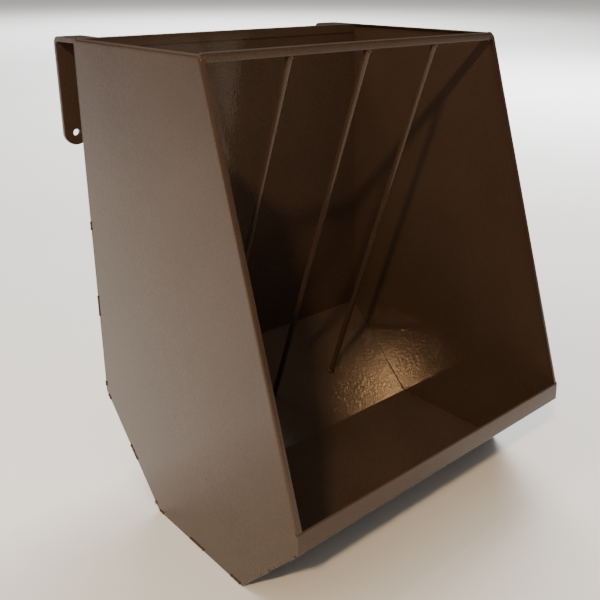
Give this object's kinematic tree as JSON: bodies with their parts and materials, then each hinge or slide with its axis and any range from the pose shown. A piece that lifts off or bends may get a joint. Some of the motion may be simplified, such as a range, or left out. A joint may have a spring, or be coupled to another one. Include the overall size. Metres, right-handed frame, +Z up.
{
  "type": "hook-over hay and feed hopper",
  "caption": "Welded sheet-steel hay hopper with a feed trough, round hay bars and strap hooks that hang it over a fence rail.",
  "frame": {"origin": "on the ground plane under the middle of the whole object, hooks included", "axes": "+X to the viewer's right across the width, -Y to the open front, +Z up"},
  "size_m": [0.4612, 0.467, 0.5944],
  "materials": {
    "panel_coat": "glossy brown powder coat with a fine orange-peel grain",
    "weld_coat": "brown powder coat over rippled weld beads"
  },
  "bodies": {
    "root": {"folded_sheet": "panel_coat", "left_side_panel": "panel_coat", "right_side_panel": "panel_coat", "front_rail": "panel_coat", "left_bar": "panel_coat", "middle_bar": "panel_coat", "right_bar": "panel_coat", "left_hook": "panel_coat", "right_hook": "panel_coat", "left_seam_welds": "weld_coat", "right_seam_welds": "weld_coat", "rail_welds": "weld_coat", "bar_head_welds": "weld_coat", "bar_foot_welds": "weld_coat", "hook_welds": "weld_coat", "lip_welds": "weld_coat"}
  },
  "joints": []
}
